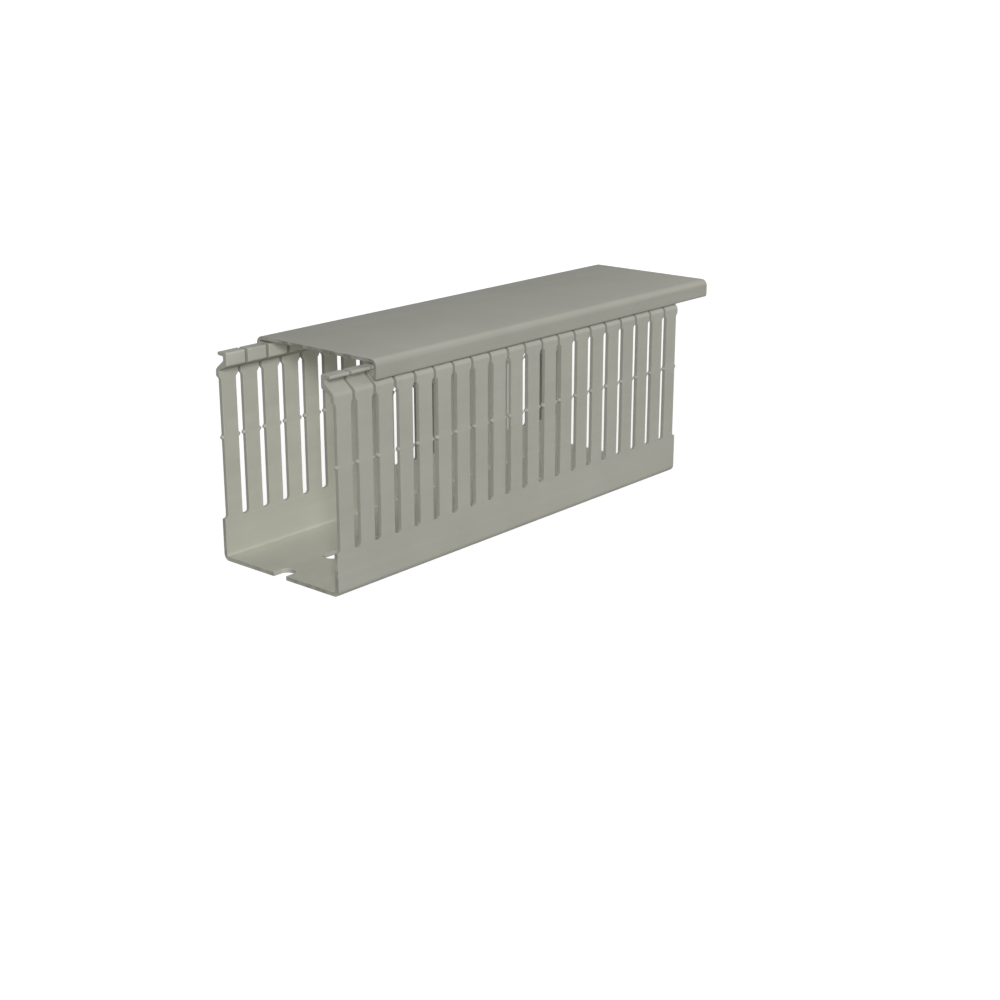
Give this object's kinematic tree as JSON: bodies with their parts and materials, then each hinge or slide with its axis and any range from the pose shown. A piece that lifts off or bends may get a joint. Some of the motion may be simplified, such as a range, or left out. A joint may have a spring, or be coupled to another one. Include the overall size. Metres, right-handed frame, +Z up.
{
  "type": "slotted wire duct",
  "caption": "Straight length of U-shaped slotted wiring duct with open-ended side slots, lipped heads on its fingers, slotted base and a clip-on cover slid part way along.",
  "frame": {"origin": "centre of the middle fixing slot, on the underside of the base", "axes": "+X along the length, towards the end that the cover overhangs; +Y across, towards the rear wall; +Z up, away from the base"},
  "size_m": [0.2204, 0.0604, 0.0803],
  "materials": {
    "duct_plastic": "matte extruded stone grey",
    "cover_plastic": "matte extruded stone grey"
  },
  "bodies": {
    "duct": {"duct_base": "duct_plastic"},
    "lid": {"cover": "cover_plastic"}
  },
  "joints": [
    {"name": "cover_slide", "type": "slide", "parent": "duct", "child": "lid", "axis": [1, 0, 0], "range_m": [-0.0204, 0.185]}
  ]
}
